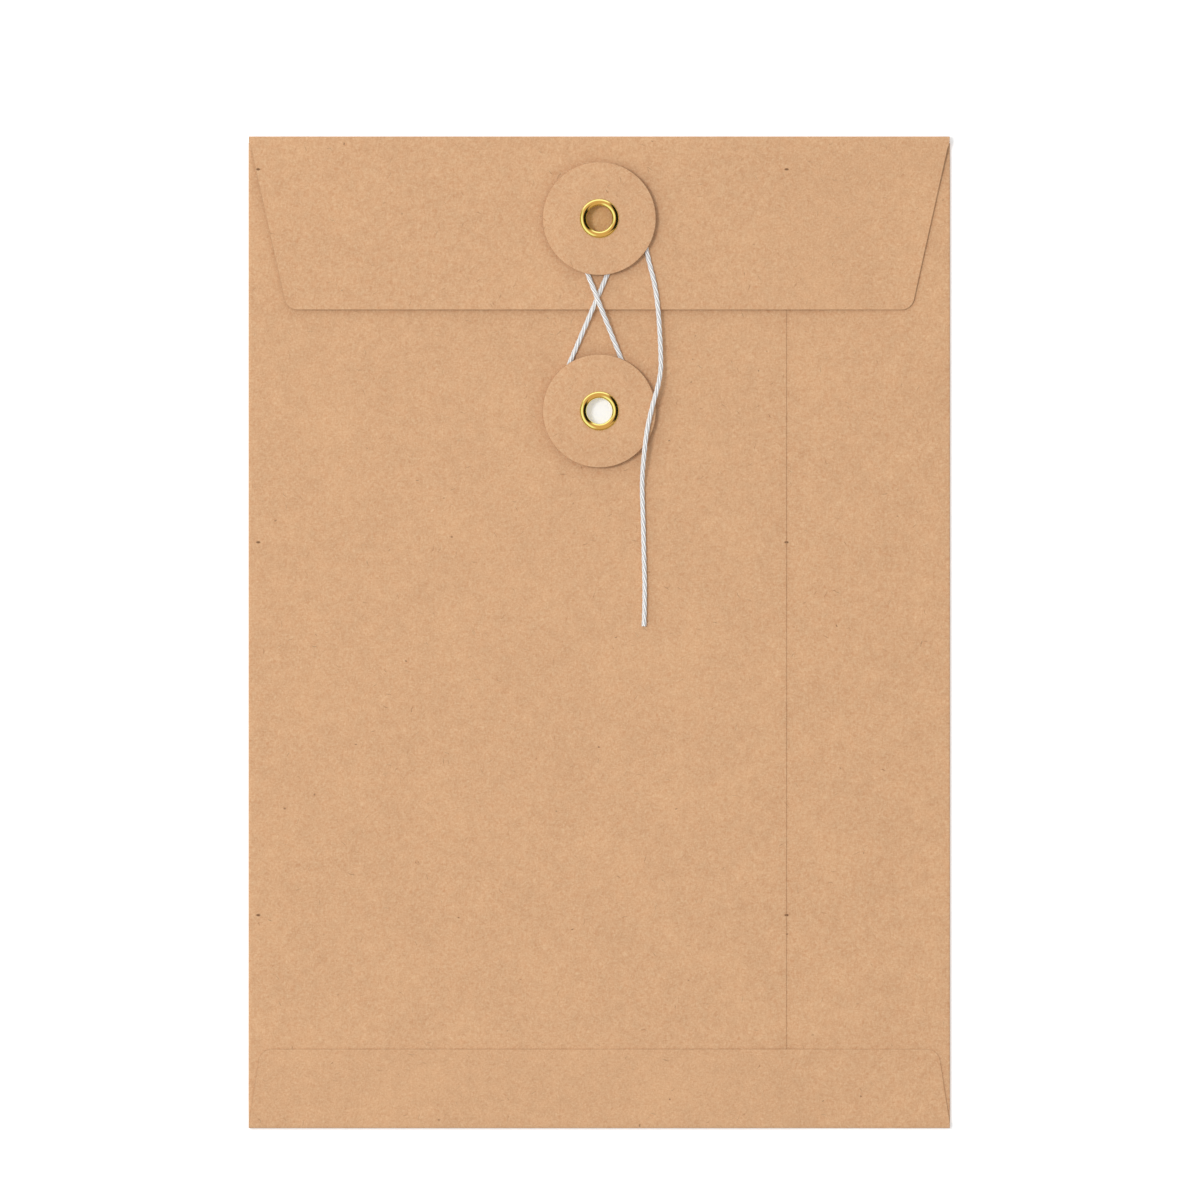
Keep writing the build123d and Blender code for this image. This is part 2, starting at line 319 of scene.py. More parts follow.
# painted light: the lining is tinted blue to offset the warm light bounced inside the eyelet's bore
pocketLining = paperMaterial("pocketLining", (0.866, 0.895, 0.953), offset=(23, 88, 0), **pocketLiningSet)
# painted light: a faint glow on the pocket lining round the lower eyelet
paintedGlowSet = {"tone": (0.8, 0.72, 1.0), "strength": 0.26, "reach": (3.5, 6.0)}


def paintGlowUnderEyelet(material, settings):
    # painted light: the lining under the lower eyelet glows, so that it looks brightly lit through the bore
    tree = material.node_tree
    toEye = (-lowerEye.x / mm, -lowerEye.y / mm, 0)
    away = vectorNode(tree, "LENGTH", vectorNode(tree, "MULTIPLY_ADD", millimetres(tree), (1, 1, 0), toEye))
    near = rampNode(tree, away, *settings["reach"], 1.0, 0.0)
    wire(tree, tree.nodes["Principled BSDF"], {
        "Emission Color": mixColor(tree, near, (0, 0, 0, 1), shaded(settings["tone"])),
        "Emission Strength": settings["strength"],
    })


paintGlowUnderEyelet(pocketLining, paintedGlowSet)
print("paper stock mixed")


brassSet = {
    "base": (1.0, 0.92, 0.27),
    "tarnish": (0.92, 0.66, 0.17),
    "tarnishShare": 0.2,
    "roughness": 0.09,
    "rub": (0.3, 0.75, 0.7, 1.5),  # how much smoother and rougher it is in places
}


def brassMaterial(name, settings):
    material, tree, shader = newMaterial(name)
    vector = millimetres(tree)
    tarnish = timesNode(tree, noiseNode(tree, vector, 0.9, 3.0), settings["tarnishShare"])
    low, high, smoother, rougher = settings["rub"]
    mean = settings["roughness"]
    rub = noiseNode(tree, vector, 9.0)
    wire(tree, shader, {
        "Base Color": mixColor(tree, tarnish, shaded(settings["base"]), shaded(settings["tarnish"])),
        "Roughness": rampNode(tree, rub, low, high, mean * smoother, mean * rougher),
        "Metallic": 1.0,
    })
    return material


brass = brassMaterial("polishedBrass", brassSet)
cottonSet = {
    "tone": (1.0, 1.0, 0.99),
    "strands": (1.4, 30.0, 1.0),  # fine fibres run along each ply
    "strandShade": 0.96,
    # painted shade: the grooves between the plies are drawn darker, as shade falls in them
    "grooveFrom": (0.13, 0.22),
    "paintedGrooveDarkening": 0.9,
    "grooveShade": 0.45,
    "bump": (0.05 * mm, 0.25),
}


def cottonMaterial(name, settings):
    material, tree, shader = newMaterial(name)
    along = addNode(tree, "ShaderNodeAttribute", out="Vector", attribute_name="yarnPlace")
    strands = noiseNode(tree, vectorNode(tree, "MULTIPLY", along, settings["strands"]), 1.0, 3.0)
    pale = rampNode(tree, strands, 0.3, 0.7, 0.0, 1.0)
    color = mixColor(tree, pale, shaded(settings["tone"], settings["strandShade"]), shaded(settings["tone"]))
    around = addNode(tree, "ShaderNodeSeparateXYZ", {0: along}, "Y")
    inward = mathNode(tree, "PINGPONG", around, 0.5)  # nought on the outside of a ply, a half inside
    # painted shade darkens the grooves between the plies
    groove = rampNode(tree, inward, *settings["grooveFrom"], 0.0, settings["paintedGrooveDarkening"])
    wire(tree, shader, {
        "Base Color": mixColor(tree, groove, color, shaded(settings["tone"], settings["grooveShade"])),
        "Roughness": 0.9, "Specular IOR Level": 0.2, "Sheen Weight": 0.15,
    })
    addBump(tree, shader, strands, *settings["bump"])
    return material


cotton = cottonMaterial("twistedCotton", cottonSet)
glueSet = {"thin": (0.74, 0.62, 0.44), "thick": (0.86, 0.78, 0.62), "roughness": 0.35}


def glueMaterial(name, settings):
    material, tree, shader = newMaterial(name)
    streaks = noiseNode(tree, millimetres(tree), 0.7, 3.0)
    color = mixColor(tree, streaks, shaded(settings["thin"]), shaded(settings["thick"]))
    wire(tree, shader, {"Base Color": color, "Roughness": settings["roughness"]})
    return material


dryGlue = glueMaterial("dryGlue", glueSet)
print("materials mixed")


# sheets of paper: a flat blank, cut and then folded by a function of its place
sheetSet = {
    "edgeShadeBand": 0.09 * mm,  # width of the band of painted shade along each cut edge of the paper
    "margin": 0.2 * mm,  # no grid point lies nearer to a rim than this
    "nearest": 0.004,  # shortest step between two points of an edge, as a share of it
    "tiny": 1e-7,
    "mitre": 0.5,
    "creaseSquare": 0.55,  # below one, a crease is pressed squarer than a half round
    "thickest": 1.5,  # in papers, no spike where creases meet in a corner
    "holePoints": 48,
}


def newMesh(name, points, faces, materials, slots=None):
    mesh = bpy.data.meshes.new(name)
    mesh.from_pydata(points, [], faces)
    for material in materials:
        mesh.materials.append(material)
    if slots:
        mesh.polygons.foreach_set("material_index", slots)
    return mesh


def newPiece(name, mesh):
    piece = bpy.data.objects.new(name, mesh)
    scene.collection.objects.link(piece)
    return piece


def plainMesh(piece, name):
    # the evaluated piece as a plain mesh, and the piece gone
    graph = bpy.context.evaluated_depsgraph_get()
    mesh = bpy.data.meshes.new_from_object(piece.evaluated_get(graph))
    mesh.name = name
    bpy.data.objects.remove(piece)
    return mesh


def smoothMesh(mesh, degrees=40):
    mesh.polygons.foreach_set("use_smooth", [True] * len(mesh.polygons))
    mesh.set_sharp_from_angle(angle=math.radians(degrees))


def arcPoints(centre, radius, start, end, count):
    points = []
    for i in range(count + 1):
        angle = math.radians(start + (end - start) * i / count)
        points.append((centre[0] + radius * math.cos(angle), centre[1] + radius * math.sin(angle)))
    return points


def holeLoop(x, y, radius):
    return arcPoints((x, y), radius, 0, 360, sheetSet["holePoints"])[:-1]


def spread(start, end, step):
    count = max(1, round(abs(end - start) / step))
    return [start + (end - start) * i / count for i in range(count + 1)]


def eased(value, start, end):
    share = min(1.0, max(0.0, (value - start) / (end - start)))
    return share * share * (3 - 2 * share)


def roundedCorner(before, corner, after, radius, count=8):
    # points of an arc that replaces a corner of an outline
    corner = Vector(corner)
    toBefore = (Vector(before) - corner).normalized()
    toAfter = (Vector(after) - corner).normalized()
    half = toBefore.angle(toAfter) / 2
    middle = corner + (toBefore + toAfter).normalized() * (radius / math.sin(half))
    start = corner + toBefore * (radius / math.tan(half)) - middle
    end = corner + toAfter * (radius / math.tan(half)) - middle
    sweep = start.angle_signed(end)
    turned = []
    for i in range(count + 1):
        angle = math.atan2(start.y, start.x) - sweep * i / count
        turned.append((middle.x + radius * math.cos(angle), middle.y + radius * math.sin(angle)))
    return turned


def freeEdge(fold, end, foldHalf, edgeHalf, radius):
    # a flap's free edge with its two round corners, from the side of minus foldHalf on
    corners = [(-foldHalf, fold), (-edgeHalf, end), (edgeHalf, end), (foldHalf, fold)]
    return roundedCorner(*corners[:3], radius) + roundedCorner(*corners[1:], radius)


def splitEdges(outline, columns, rows):
    # extra points where the outline crosses the grid, so that creases bend evenly
    points = []
    for (ax, ay), (bx, by) in zip(outline, outline[1:] + outline[:1]):
        marks = {0.0}
        if abs(bx - ax) > sheetSet["tiny"]:
            marks.update((x - ax) / (bx - ax) for x in columns)
        if abs(by - ay) > sheetSet["tiny"]:
            marks.update((y - ay) / (by - ay) for y in rows)
        last = -1.0
        for t in sorted(m for m in marks if 0.0 <= m < 0.9999):  # the next edge has this one's end
            if t - last > sheetSet["nearest"]:
                points.append((ax + (bx - ax) * t, ay + (by - ay) * t))
                last = t
    return points


def insideLoop(x, y, loop):
    inside = False
    for (ax, ay), (bx, by) in zip(loop, loop[1:] + loop[:1]):
        if (ay > y) != (by > y) and x < ax + (bx - ax) * (y - ay) / (by - ay):
            inside = not inside
    return inside


def insetLoop(loop, distance):
    # the same loop, moved inwards by the width of its band of painted edge shade; corners by their mitre
    moved = []
    for i, here in enumerate(loop):
        before = (Vector(here) - Vector(loop[i - 1])).normalized()
        after = (Vector(loop[(i + 1) % len(loop)]) - Vector(here)).normalized()
        inward = Vector((-before.y - after.y, before.x + after.x)).normalized()
        mitre = max(sheetSet["mitre"], inward.dot(Vector((-after.y, after.x))))
        moved.append(Vector(here) + inward * (distance / mitre))
    return moved


def ringEdges(first, count):
    return [(first + i, first + (i + 1) % count) for i in range(count)]


def cutSheet(outline, hole, columns, rows):
    # flat blank: triangles inside the outline and outside the hole
    border = splitEdges(outline, columns, rows)
    count = len(border)
    rims = border + hole
    margin = sheetSet["margin"]
    points = [Vector(p) for p in border] + insetLoop(border, sheetSet["edgeShadeBand"]) + [Vector(p) for p in hole]
    edges = ringEdges(0, count) + ringEdges(count, count) + ringEdges(2 * count, len(hole))
    for x in columns:
        for y in rows:
            near = any(abs(x - p[0]) < margin and abs(y - p[1]) < margin for p in rims)
            if not near and insideLoop(x, y, border) and not insideLoop(x, y, hole):
                points.append(Vector((x, y)))
    flat, _, faces, origin, _, _ = delaunay_2d_cdt(points, edges, [], 1, sheetSet["tiny"])
    onBorder = [any(i < count for i in source) for source in origin]
    kept = []
    for face in faces:
        cx = sum(flat[i].x for i in face) / len(face)
        cy = sum(flat[i].y for i in face) / len(face)
        if not insideLoop(cx, cy, hole):
            kept.append(face)
    return flat, kept, onBorder


def foldBack(distance, radius):
    # a sheet that runs round a crease and back over itself: how far out and how high
    square = sheetSet["creaseSquare"]
    if distance < math.pi * radius:
        angle = distance / radius
        rise = math.copysign(abs(math.cos(angle)) ** square, math.cos(angle))
        return radius * math.sin(angle) ** square, radius - radius * rise
    return math.pi * radius - distance, 2 * radius


def thickSheet(name, blank, fold, materials, pressed=None):
    # outer face of the folded sheet, thickened inwards: outside, lining, and the cut edge with its painted shade
    flat, faces, onBorder = blank
    points = [fold(p.x, p.y) for p in flat]
    # faces at the rim take the painted edge shade
    slots = [2 if any(onBorder[i] for i in face) else 0 for face in faces]
    mesh = newMesh(name, points, [tuple(reversed(face)) for face in faces], materials, slots)
    piece = newPiece(name + "Outer", mesh)
    wall = piece.modifiers.new("paper", "SOLIDIFY")
    wall.thickness = paper
    wall.offset = -1
    wall.use_even_offset = True
    wall.material_offset = 1
    wall.material_offset_rim = 2
    if pressed:
        group = piece.vertex_groups.new(name="thickness")
        for i, p in enumerate(flat):
            group.add([i], 1 - pressed(p.x, p.y) / paper, "REPLACE")
        wall.vertex_group = group.name
    solid = plainMesh(piece, name)
    for outer, inner in zip(solid.vertices[:len(flat)], solid.vertices[len(flat):]):
        inwards = inner.co - outer.co
        if inwards.length > sheetSet["thickest"] * paper:
            inner.co = outer.co + inwards.normalized() * paper
    smoothMesh(solid)
    finished = newPiece(name, solid)
    finished.vertex_groups.clear()
    return finished


# pocket: one blank with two side wings and a bottom flap, folded over
pocketSet = {
    "grid": 4.0 * mm,  # spacing of the mesh on the flat walls
    "creaseSteps": 10,
    "throatDrop": 5.0 * mm,
    "throatRun": 6.0 * mm,
    "bottomTaper": 8.4,
    "bottomCorner": 3.0 * mm,
    "holeRadius": 3.35 * mm,
    "pressedBy": 0.16 * mm,  # how much thinner the glued free edges are
    "seamWidth": 13.0 * mm,
    "seamDip": 0.09 * mm,  # the seam's free edge comes down past its glue
    "seamDipFrom": 1.9 * mm,
    "seamSteps": 5,
    "flush": 0.1 * mm,  # the bottom crease is this much wider than its flap, on each side
    "cornerDip": 0.255,  # share by which the bottom flap settles on the lower wall, right of the seam
    "cornerDipFrom": (42.6 * mm, 49.0 * mm),
}


def makePocket(settings):
    left, right = frontLow.x, frontHigh.x
    bottom, top = frontLow.y, frontHigh.y
    sideBottom, sideTop = leftWallLow.y, leftWallHigh.y
    leftRadius = leftWallHigh.z / 2
    rightRadius = rightWallHigh.z / 2
    bottomRadius = bottomFlapHigh.z / 2
    leftTurn, rightTurn, bottomTurn = (math.pi * r for r in (leftRadius, rightRadius, bottomRadius))
    leftFold = left - leftTurn
    rightFold = right + rightTurn
    throat = top + foldHigh.y - flapHigh.y - settings["throatDrop"]
    run = settings["throatRun"]
    leftEnd = leftFold - (leftWallHigh.x - left)
    rightEnd = rightFold + (right - rightWallLow.x)
    foldHalf = bottomFlapHigh.x
    crease = foldHalf + settings["flush"]
    flapLength = bottomFlapHigh.y - bottom
    edgeHalf = foldHalf - flapLength * math.tan(math.radians(settings["bottomTaper"]))
    flapFold = bottom - bottomTurn
    flapEnd = flapFold - flapLength
    outline = [
        (left, top), (left, sideTop), (leftFold, sideTop), (leftFold - run, throat), (leftEnd, throat),
        (leftEnd, sideBottom), (left, sideBottom), (left, bottom), (-crease, bottom), (-crease, flapFold),
        *freeEdge(flapFold, flapEnd, foldHalf, edgeHalf, settings["bottomCorner"]),
        (crease, flapFold), (crease, bottom), (right, bottom), (right, sideBottom), (rightEnd, sideBottom),
        (rightEnd, throat), (rightFold + run, throat), (rightFold, sideTop), (right, sideTop), (right, top),
    ]
    step = settings["grid"]
    count = settings["creaseSteps"]
    seamDipFrom = settings["seamDipFrom"]
    seamStart = leftEnd + seamDipFrom
    columns = spread(leftEnd, seamStart, seamDipFrom / settings["seamSteps"])
    columns += spread(seamStart, leftFold, step)[1:] + spread(leftFold, left, leftTurn / count)[1:]
    columns += spread(left, right, step)[1:] + spread(right, rightFold, rightTurn / count)[1:]
    columns += spread(rightFold, rightEnd, step)[1:]
    rows = spread(flapEnd, flapFold, step) + spread(flapFold, bottom, bottomTurn / count)[1:]
    rows += spread(bottom, top, step)[1:]
    hole = holeLoop(leftFold - (lowerEye.x - left), lowerEye.y, settings["holeRadius"])

    def pressed(x, y):
        if y < flapFold:
            return settings["pressedBy"] * eased(flapFold - y, 0.0, flapLength)
        return settings["pressedBy"] * eased(leftEnd + settings["seamWidth"] - x, 0.0, settings["seamWidth"])

    def fold(x, y):
        if y < bottom:
            out, high = foldBack(bottom - y, bottomRadius)
            dip = eased(x, *settings["cornerDipFrom"])
            return x, bottom - out, high * (1 - settings["cornerDip"] * dip) - pressed(x, y)
        if x < left:
            out, high = foldBack(left - x, leftRadius)
            dip = eased(seamStart - x, 0.0, seamDipFrom)
            return left - out, y, high - settings["seamDip"] * dip - pressed(x, y)
        if x > right:
            out, high = foldBack(x - right, rightRadius)
            return right + out, y, high
        return x, y, 0.0

    blank = cutSheet(outline, hole, columns, rows)
    return thickSheet("pocketSheet", blank, fold, [kraftPocket, pocketLining, paintedEdgeShade], pressed)


pocketSheet = makePocket(pocketSet)
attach(pocketSheet, "pocket")
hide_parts("front_panel", "left_fold", "right_fold", "bottom_fold", "left_back_panel",
            "right_back_panel", "bottom_flap")
print("pocket folded:", len(pocketSheet.data.polygons), "faces")


# closing flap with its crease, one sheet
flapSet = {
    "grid": 4.0 * mm,
    "creaseSteps": 14,
    "taper": 12.5,
    "corner": 3.0 * mm,
    "holeRadius": 3.35 * mm,
    "bendReach": 2.0 * mm,  # how far past the crease the paper still gives when it opens
    "flush": 0.18 * mm,  # the crease is as wide as the pocket, the flap a little less
    "shoulder": 1.5 * mm,
    "settle": 0.38,  # how much lower it lies on the right, where one wall fewer is under it
    "settleFrom": (20.0 * mm, 72.0 * mm),
    "settleDown": (-4.0 * mm, 16.0 * mm),  # less at the crease
}


def makeFlap(settings):
    start = flapHigh.y
    radius = flapHigh.z / 2
    turn = math.pi * radius
    foldHalf = foldHigh.x
    length = flapHigh.y - flapLow.y
    slant = math.tan(math.radians(settings["taper"]))
    edgeHalf = foldHalf - length * slant
    end = turn + length
    crease = foldHalf + settings["flush"]
    shoulder = turn + settings["shoulder"]
    neck = foldHalf - settings["shoulder"] * slant
    outline = [
        (-crease, 0), (crease, 0), (crease, turn), (neck, shoulder),
        *freeEdge(turn, end, -foldHalf, -edgeHalf, settings["corner"]), (-neck, shoulder), (-crease, turn),
    ]
    columns = spread(-foldHalf, foldHalf, settings["grid"])
    rows = spread(0, turn, turn / settings["creaseSteps"]) + spread(turn, end, settings["grid"])[1:]
    hole = holeLoop(upperEye.x, turn + start - upperEye.y, settings["holeRadius"])

    def fold(x, y):
        out, high = foldBack(y, radius)
        settled = settings["settle"] * eased(x, *settings["settleFrom"]) * eased(y, *settings["settleDown"])
        return x, start + out, high * (1 - settled)

    blank = cutSheet(outline, hole, columns, rows)
    return thickSheet("flapSheet", blank, fold, [kraftFlap, whiteLining, paintedEdgeShade])


flapSheet = makeFlap(flapSet)
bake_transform(flapSheet)
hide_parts("closing_flap", "flap_fold")
print("flap folded:", len(flapSheet.data.polygons), "faces")


# turned pieces: a closed profile of radius and height, spun about an eyelet's middle
def latheMesh(name, profile, centre, segments, materials, slotOf=None):
    count = len(profile)
    points = []
    faces = []
    for i in range(segments):
        angle = 2 * math.pi * i / segments
        for radius, height in profile:
            points.append((centre.x + radius * math.cos(angle), centre.y + radius * math.sin(angle), height))
    for i in range(segments):
        here = i * count
        after = (i + 1) % segments * count
        for j in range(count):
            k = (j + 1) % count
            faces.append((here + j, after + j, after + k, here + k))
    slots = [slotOf(i % count) for i in range(len(faces))] if slotOf else None
    mesh = newMesh(name, points, faces, materials, slots)
    smoothMesh(mesh)
    return mesh


buttonSet = {
    "edge": 0.14 * mm,
    "edgeSteps": 4,
    "dish": 0.05 * mm,  # pressed down round the eyelet
    "dishWidth": 2.2 * mm,
    "dishShare": 0.6,  # what is left of the dish at its width
    "dishRise": 0.8 * mm,
    "droop": 0.25 * mm,
    "droopFrom": 6.0 * mm,
    "ringSteps": 10,
    "segments": 160,
}


def buttonProfile(node, settings):
    low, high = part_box(node)
    outer = (high.x - low.x) / 2
    hole = pocketSet["holeRadius"]
    edge = settings["edge"]
    dish = settings["dish"]
    pressed = hole + settings["dishWidth"]
    flatEnd = outer - edge
    upper = arcPoints((flatEnd, high.z - edge), edge, 90, 0, settings["edgeSteps"])
    lower = arcPoints((flatEnd, low.z + edge), edge, 0, -90, settings["edgeSteps"])
    face = [
        (hole, high.z - dish),
        (pressed, high.z - dish * settings["dishShare"]),
        (pressed + settings["dishRise"], high.z),
    ]
    steps = settings["ringSteps"]
    ring = [(pressed + (flatEnd - pressed) * i / steps, high.z) for i in range(2, steps)]
    under = [(radius, low.z) for radius, _ in reversed(ring)]

    def droop(radius):
        share = max(0.0, (radius - settings["droopFrom"]) / (outer - settings["droopFrom"]))
        return settings["droop"] * share ** 2

    profile = face + ring + upper + lower + under + [(hole, low.z)]
    return [(radius, height - droop(radius)) for radius, height in profile][::-1]


def makeButton(name, node, body):
    profile = buttonProfile(node, buttonSet)
    rim = max(radius for radius, _ in profile) - buttonSet["edge"] * 0.99 - 0.001 * mm  # where the painted edge shade starts

    def shadedEdgeOrFace(index):
        return 1 if min(profile[index][0], profile[(index + 1) % len(profile)][0]) >= rim else 0

    # the rounded rim of each button takes the painted edge shade
    materials = [kraftButton, paintedEdgeShade]
    mesh = latheMesh(name, profile, middleOf(node), buttonSet["segments"], materials, shadedEdgeOrFace)
    piece = newPiece(name, mesh)
    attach(piece, body)
    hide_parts(node)


makeButton("flapDisc", "flap_button", "upper_button")
makeButton("pocketDisc", "pocket_button", "lower_button")
print("buttons turned")


eyeletSet = {
    "bore": 3.0 * mm,
    "wall": 0.3 * mm,
    "rimWidth": 1.5 * mm,
    "rimHeight": 0.42 * mm,
    "rimSteps": 32,
    "rollWidth": 1.2 * mm,
    "rollHeight": 0.45 * mm,
    "rollSteps": 14,
    "boreSteps": 6,
    "segments": 128,
}


def eyeletProfile(node, settings):
    low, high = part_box(node)
    bore = settings["bore"]
    shank = bore + settings["wall"]
    rimHalf = settings["rimWidth"] / 2
    rollHalf = settings["rollWidth"] / 2
    rimZ = high.z - rimHalf
    rim = arcPoints((0, 0), 1, 180, 0, settings["rimSteps"])
    rim = [(bore + rimHalf * (1 + x), rimZ + settings["rimHeight"] * y) for x, y in rim]
    rollZ = low.z + settings["rollHeight"]
    roll = arcPoints((0, 0), 1, 0, -180, settings["rollSteps"])
    roll = [(bore + rollHalf * (1 + x), rollZ + settings["rollHeight"] * y) for x, y in roll]
    barrel = [(shank, rimZ), (shank, rollZ)]
    steps = settings["boreSteps"]
    inside = [(bore, rollZ + (rimZ - rollZ) * i / steps) for i in range(1, steps)]
    return (rim + barrel + roll + inside)[::-1]


def makeEyelet(name, node, body):
    profile = eyeletProfile(node, eyeletSet)
    piece = newPiece(name, latheMesh(name, profile, middleOf(node), eyeletSet["segments"], [brass]))
    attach(piece, body)
    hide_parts(node)


makeEyelet("flapRing", "flap_eyelet", "flap")
makeEyelet("pocketRing", "pocket_eyelet", "pocket")
print("eyelets turned")


# hidden paper patches and glue keep their solids
for node, material in (("flap_patch", kraftPatch), ("pocket_patch", kraftPatch), ("seam_glue", dryGlue),
                       ("bottom_glue", dryGlue)):
    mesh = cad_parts[node].data
    mesh.materials.clear()
    mesh.materials.append(material)


# string, in millimetres: the route of its middle, then its plies and loose fibres
stringSet = {
    "diameter": 1.2,
    "rest": 0.57,  # height of its middle above what it lies on
    "lay": 8.5,  # length of one full twist
    "plies": 4,
    "plyRadius": 0.275,
    "plyOffset": 0.28,
    "plySides": 12,
    "knot": (2.0, 0.6),  # length and swelling
    "wornEnd": (1.6, 0.16),
    "step": 0.2,
    "fuzzLength": 0.4,
    "fuzzRange": (0.5, 1.3),  # shortest and longest, as shares of that length
    "fuzzDensity": 250000.0,  # loose fibres on a square metre
    "fuzzLean": 0.5,
    "fuzzAbove": 0.1,  # none grow under the string
    "hair": {"Resolution": 4, "Start": (0, 0, 0), "Middle": (0.1, 0, 0.35), "End": (0.8, 0.1, 0.4)},
    "hairRing": {"Resolution": 3, "Radius": 0.018},
    "seeds": {"scatter": 7, "spin": 3, "length": 11},
    "smooth": 60,
}
windSet = {
    "tieRadius": 4.1,
    "tieEnd": 3.2,
    "downUpper": 6.8,
    "downLower": 10.7,
    "pastEdge": (1.0, 0.08),  # how far past the flap's edge it starts to sink, and its lift there
    "downRest": 10.5,  # how far before the lower button it lies on the pocket
    "upLower": 9.1,
    "upUpper": 7.2,
    "upRest": 12.2,
    "crossing": 1.0,
    "overRest": 11.8,
    "tailOffset": 9.41,
    "tailLean": 11.8,
    "turnPoints": 16,  # control points in a full turn
    "tail": [  # across and down from the upper eyelet, what it lies on and its lift above that
        (11.3, -9.5, "flap", 0.0),
        (12.8, -15.0, "flap", 0.0),
        (13.6, -21.0, "flap", 0.05),
        (14.0, -27.0, "flap", 0.15),
        (14.2, -32.0, "flap", 0.3),
        (14.2, -35.2, "rim", -0.3),
        (13.6, -38.5, "rim", -0.05),
        (12.3, -43.0, "rim", 0.0),
        (11.0, -48.5, "rim", 0.0),
        (10.3, -54.5, "rim", 0.1),
        (9.8, -61.0, "pocket", 0.3),
        (10.1, -69.0, "pocket", 0.12),
        (10.3, -78.0, "pocket", 0.12),
        (10.55, -87.0, "pocket", 0.12),
        (10.3, -94.1, "pocket", 0.12),
    ],
}


def turnVector(degrees):
    return Vector((math.cos(math.radians(degrees)), math.sin(math.radians(degrees))))


def loopPoints(centre, startRadius, endRadius, start, end, height):
    # corners of a polygon round the loop, whose sides touch it
    count = math.ceil(abs(end - start) / 360 * windSet["turnPoints"])
    step = (end - start) / count
    corners = []
    for i in range(count):
        share = (i + 0.5) / count
        radius = (startRadius + (endRadius - startRadius) * share) / math.cos(math.radians(step / 2))
        place = centre + turnVector(start + step * (i + 0.5)) * radius
        corners.append((place.x, place.y, height))
    return corners


def stringRoute(w):
    upper = Vector((upperEye.x, upperEye.y)) / mm
    lower = Vector((lowerEye.x, lowerEye.y)) / mm
    tops = {"flap": flapTop, "rim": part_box("pocket_button")[1].z, "pocket": pocketTop}
    on = {place: top / mm + stringSet["rest"] for place, top in tops.items()}
    spacing = (upper - lower).length
    downLean = math.degrees(math.asin((w["downUpper"] + w["downLower"]) / spacing))
    upLean = math.degrees(math.asin((w["upUpper"] + w["upLower"]) / spacing))
    downStart = upper + turnVector(-downLean) * w["downUpper"]
    downEnd = lower + turnVector(180 - downLean) * w["downLower"]
    upStart = lower + turnVector(upLean) * w["upLower"]
    upEnd = upper + turnVector(180 + upLean) * w["upUpper"]
    downWay = (downEnd - downStart).normalized()
    upWay = (upEnd - upStart).normalized()

    def goAlong(start, way, distance, height):
        place = start + way * distance
        route.append((place.x, place.y, height))

    knot = upper + turnVector(-downLean) * w["tieRadius"] + turnVector(90 - downLean) * w["tieEnd"]
    route = [(knot.x, knot.y, on["flap"])]
    route += loopPoints(upper, w["tieRadius"], w["downUpper"], -downLean, -downLean - 360, on["flap"])

    # strand down: along the flap, over its edge, under the lower button
    edge = (downStart.y - flapLow.y / mm) / -downWay.y
    past, lift = w["pastEdge"]
    goAlong(downStart, downWay, edge + past, on["flap"] + lift)
    goAlong(downStart, downWay, (downEnd - downStart).length - w["downRest"], on["pocket"])
    route += loopPoints(lower, w["downLower"], w["upLower"], 180 - downLean, 360 + upLean, on["pocket"])

    # strand up: climbs over the strand down, then under the upper button
    meet = (downStart - upStart).cross(downWay) / upWay.cross(downWay)
    goAlong(upStart, upWay, w["upRest"], on["pocket"])
    for distance in (meet - w["crossing"], meet + w["crossing"]):
        goAlong(upStart, upWay, distance, on["flap"] + stringSet["diameter"])
    goAlong(upStart, upWay, (upEnd - upStart).length - w["overRest"], on["flap"])
    route += loopPoints(upper, w["upUpper"], w["tailOffset"], 180 + upLean, w["tailLean"], on["flap"])

    # free tail: over the lower button's rim, then along the pocket
    route += [(upper.x + x, upper.y + y, on[place] + lift) for x, y, place, lift in w["tail"]]
    return route


def routeSpline(route):
    curve = bpy.data.curves.new("stringRoute", "CURVE")
    curve.dimensions = "3D"
    curve.resolution_u = 24
    spline = curve.splines.new("NURBS")
    spline.points.add(len(route) - 1)
    for point, place in zip(spline.points, route):
        point.co = (*(Vector(place) * mm), 1)
    spline.order_u = 3
    spline.use_endpoint_u = True
    return newPiece("stringRoute", curve)


def storeNode(tree, geometry, name, value, kind="FLOAT"):
    inputs = {"Geometry": geometry, "Name": name, "Value": value}
    return addNode(tree, "GeometryNodeStoreNamedAttribute", inputs, "Geometry", data_type=kind, domain="POINT")


def storedNode(tree, name):
    return addNode(tree, "GeometryNodeInputNamedAttribute", {"Name": name}, "Attribute", data_type="FLOAT")


def pairNode(tree, first, second):
    return addNode(tree, "ShaderNodeCombineXYZ", {"X": first, "Y": second}, "Vector")


def tubeNode(tree, curve, profile):
    inputs = {"Curve": curve, "Profile Curve": profile, "Fill Caps": True}
    return addNode(tree, "GeometryNodeCurveToMesh", inputs, "Mesh")


